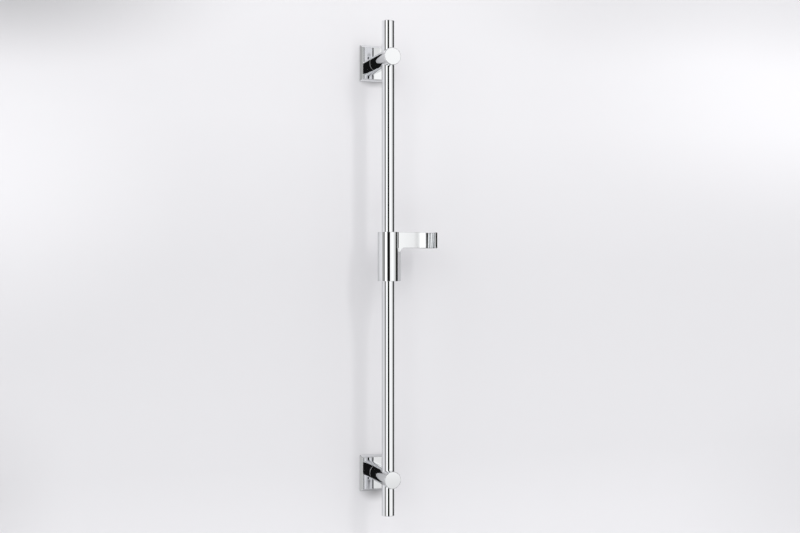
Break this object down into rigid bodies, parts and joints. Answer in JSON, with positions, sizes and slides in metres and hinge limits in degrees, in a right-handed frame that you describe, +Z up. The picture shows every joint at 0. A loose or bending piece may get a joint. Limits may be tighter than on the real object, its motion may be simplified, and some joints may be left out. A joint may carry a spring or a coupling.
{
  "type": "shower slide rail",
  "caption": "Chromed shower slide rail on two round posts with square bevelled wall plates and a sliding, swivelling holder with a slotted ring.",
  "frame": {"origin": "on the wall, at the centre of the back of the lower fixing flange, on the axis of the lower post", "axes": "+Z up along the rail, +Y into the wall, +X to the right as seen from the room; the holder's arm points along +X at rest"},
  "size_m": [0.126, 0.088, 0.858],
  "materials": {
    "chrome": "polished mirror chrome plate",
    "brass": "turned, bare",
    "steel": "plain steel, satin",
    "white_plastic": "moulded, natural white",
    "grey_plastic": "moulded, mid grey"
  },
  "bodies": {
    "rail": {"rail_tube": "chrome", "rail_cap_top": "chrome", "rail_cap_bottom": "chrome", "upper_post": "chrome", "upper_wall_plate": "chrome", "upper_wall_bracket": "brass", "upper_post_washer": "white_plastic", "upper_lock_screw": "steel", "upper_rail_screw": "steel", "upper_rail_pad": "white_plastic", "lower_post": "chrome", "lower_wall_plate": "chrome", "lower_wall_bracket": "brass", "lower_post_washer": "white_plastic", "lower_lock_screw": "steel", "lower_rail_screw": "steel", "lower_rail_pad": "white_plastic"},
    "carriage": {"guide_bush_top": "white_plastic", "guide_bush_bottom": "white_plastic", "brake_sleeve": "grey_plastic", "brake_spring_rings": "steel"},
    "holder": {"holder_body": "chrome", "retaining_ring": "steel"}
  },
  "joints": [
    {"name": "holder_slide", "type": "slide", "parent": "rail", "child": "carriage", "axis": [0, 0, 1], "range_m": [-0.326, 0.286]},
    {"name": "holder_swivel", "type": "hinge", "parent": "carriage", "child": "holder", "pos_m": [0, -0.063, 0.384], "axis": [0, 0, 1], "range_deg": [-215, 30]}
  ]
}
